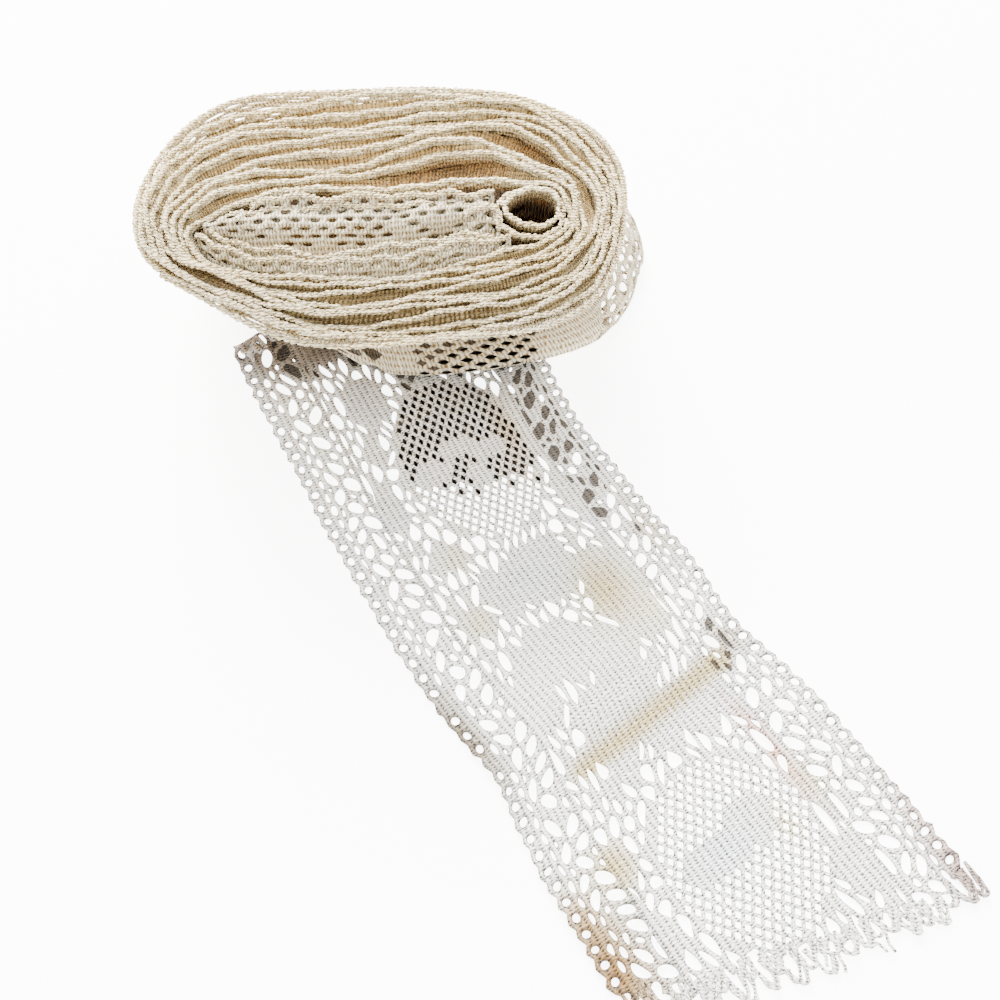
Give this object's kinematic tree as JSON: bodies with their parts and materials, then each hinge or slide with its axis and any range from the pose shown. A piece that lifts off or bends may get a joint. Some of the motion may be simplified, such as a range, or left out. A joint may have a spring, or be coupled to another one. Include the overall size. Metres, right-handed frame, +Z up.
{
  "type": "roll of lace trim",
  "caption": "Wide lace trim wound in an oval roll standing on its end, slumped forward, with its free end laid out in front and cut ragged.",
  "frame": {"origin": "middle of the foot on which the roll stands, on the surface", "axes": "+Z up along the standing roll, -Y towards the free end in front, +X to the right along the roll's long side"},
  "size_m": [0.2027, 0.2445, 0.0792],
  "materials": {
    "wound_cotton": "matte",
    "lace_cotton": "matte"
  },
  "bodies": {
    "root": {"wound_roll": "wound_cotton", "loose_tail": "lace_cotton"}
  },
  "joints": []
}
